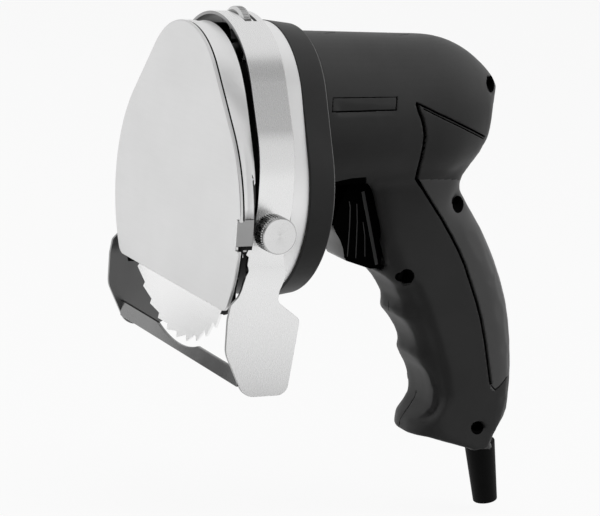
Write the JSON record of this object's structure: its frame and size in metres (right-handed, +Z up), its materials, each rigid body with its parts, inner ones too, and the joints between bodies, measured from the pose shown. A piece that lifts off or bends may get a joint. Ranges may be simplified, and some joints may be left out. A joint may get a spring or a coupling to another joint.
{
  "type": "electric kebab knife",
  "caption": "Pistol-shaped electric meat slicer: round toothed blade in an egg-shaped head under a sliding steel depth guide with broad feet and a bar, motor barrel, trigger grip.",
  "frame": {"origin": "on the blade axis, in the outer face of the front cover", "axes": "-Y forward, out of the front cover; +X to the tool's own left; +Z up, towards the motor barrel"},
  "size_m": [0.1336, 0.1776, 0.2357],
  "materials": {
    "cover_metal": "satin",
    "cast_metal": "cast and lightly polished",
    "blade_steel": "ground",
    "guide_steel": "polished",
    "screw_steel": "bright plated",
    "machined_steel": "machined",
    "core_steel": "stacked sheet",
    "copper_wire": "enamelled wire",
    "brush_carbon": "carbon",
    "housing_plastic": "fine grain",
    "collar_plastic": "satin",
    "trigger_plastic": "satin",
    "inner_plastic": "moulded",
    "cord_rubber": "matt"
  },
  "bodies": {
    "motor_unit": {"front_cover": "cover_metal", "blade_drum": "cover_metal", "drum_screws": "screw_steel", "gear_case": "cast_metal", "motor_plate": "cast_metal", "case_screws": "screw_steel", "spindle_front_bearing": "machined_steel", "spindle_rear_bearing": "machined_steel", "motor_front_bearing": "machined_steel", "motor_rear_bearing": "machined_steel", "front_collar": "collar_plastic", "stator_core": "core_steel", "field_coils": "copper_wire", "brush_holders": "inner_plastic", "carbon_brushes": "brush_carbon", "left_housing": "housing_plastic", "right_housing": "housing_plastic", "housing_screws": "screw_steel", "trigger_pin": "machined_steel", "switch_body": "inner_plastic", "cord_sleeve": "cord_rubber", "supply_lead": "cord_rubber", "cord_clamp": "inner_plastic", "clamp_screws": "screw_steel", "motor_leads": "cord_rubber", "adjusting_stud": "machined_steel", "left_cover_clip": "guide_steel", "right_cover_clip": "guide_steel"},
    "cutter": {"blade": "blade_steel", "blade_washer": "machined_steel", "blade_screw": "screw_steel", "spindle": "machined_steel", "drive_gear": "machined_steel", "gear_spacers": "machined_steel"},
    "rotor": {"motor_shaft": "machined_steel", "pinion": "machined_steel", "cooling_fan": "inner_plastic", "armature": "core_steel", "armature_windings": "copper_wire", "commutator": "copper_wire"},
    "trigger": {"trigger": "trigger_plastic"},
    "switch_plunger": {"switch_plunger": "inner_plastic"},
    "guide": {"depth_guide": "guide_steel", "guide_bar": "guide_steel"},
    "adjusting_wheel": {"adjusting_wheel": "screw_steel"},
    "left_thumb_screw": {"left_thumb_screw": "screw_steel"},
    "right_thumb_screw": {"right_thumb_screw": "screw_steel"}
  },
  "joints": [
    {"name": "blade_spin", "type": "hinge", "parent": "motor_unit", "child": "cutter", "pos_m": [0, 0, 0], "axis": [0, 1, 0], "continuous": true},
    {"name": "rotor_spin", "type": "hinge", "parent": "motor_unit", "child": "rotor", "pos_m": [0, 0, 0.04], "axis": [0, 1, 0], "continuous": true},
    {"name": "trigger_pull", "type": "hinge", "parent": "motor_unit", "child": "trigger", "pos_m": [0, 0.094, 0.0056], "axis": [1, 0, 0], "range_deg": [0, 8], "stiffness_Nm_per_rad": 0.6, "springref_deg": -14.32},
    {"name": "switch_press", "type": "slide", "parent": "motor_unit", "child": "switch_plunger", "axis": [0, 1, 0], "range_m": [0, 0.0028]},
    {"name": "guide_slide", "type": "slide", "parent": "motor_unit", "child": "guide", "axis": [0, -1, 0], "range_m": [0, 0.002]},
    {"name": "wheel_turn", "type": "hinge", "parent": "guide", "child": "adjusting_wheel", "pos_m": [0, 0.025, 0.074], "axis": [0, 1, 0], "range_deg": [0, 720]},
    {"name": "left_thumb_turn", "type": "hinge", "parent": "motor_unit", "child": "left_thumb_screw", "pos_m": [0.055, 0.0185, 0], "axis": [1, 0, 0], "range_deg": [0, 180]},
    {"name": "right_thumb_turn", "type": "hinge", "parent": "motor_unit", "child": "right_thumb_screw", "pos_m": [-0.055, 0.0185, 0], "axis": [-1, 0, 0], "range_deg": [0, 180]}
  ],
  "couplings": [
    {"joint": "rotor_spin", "follows": "blade_spin", "ratio": -4},
    {"joint": "trigger_pull", "follows": "switch_press", "rad_per_m": 49.866},
    {"joint": "wheel_turn", "follows": "guide_slide", "rad_per_m": 6283.2}
  ]
}
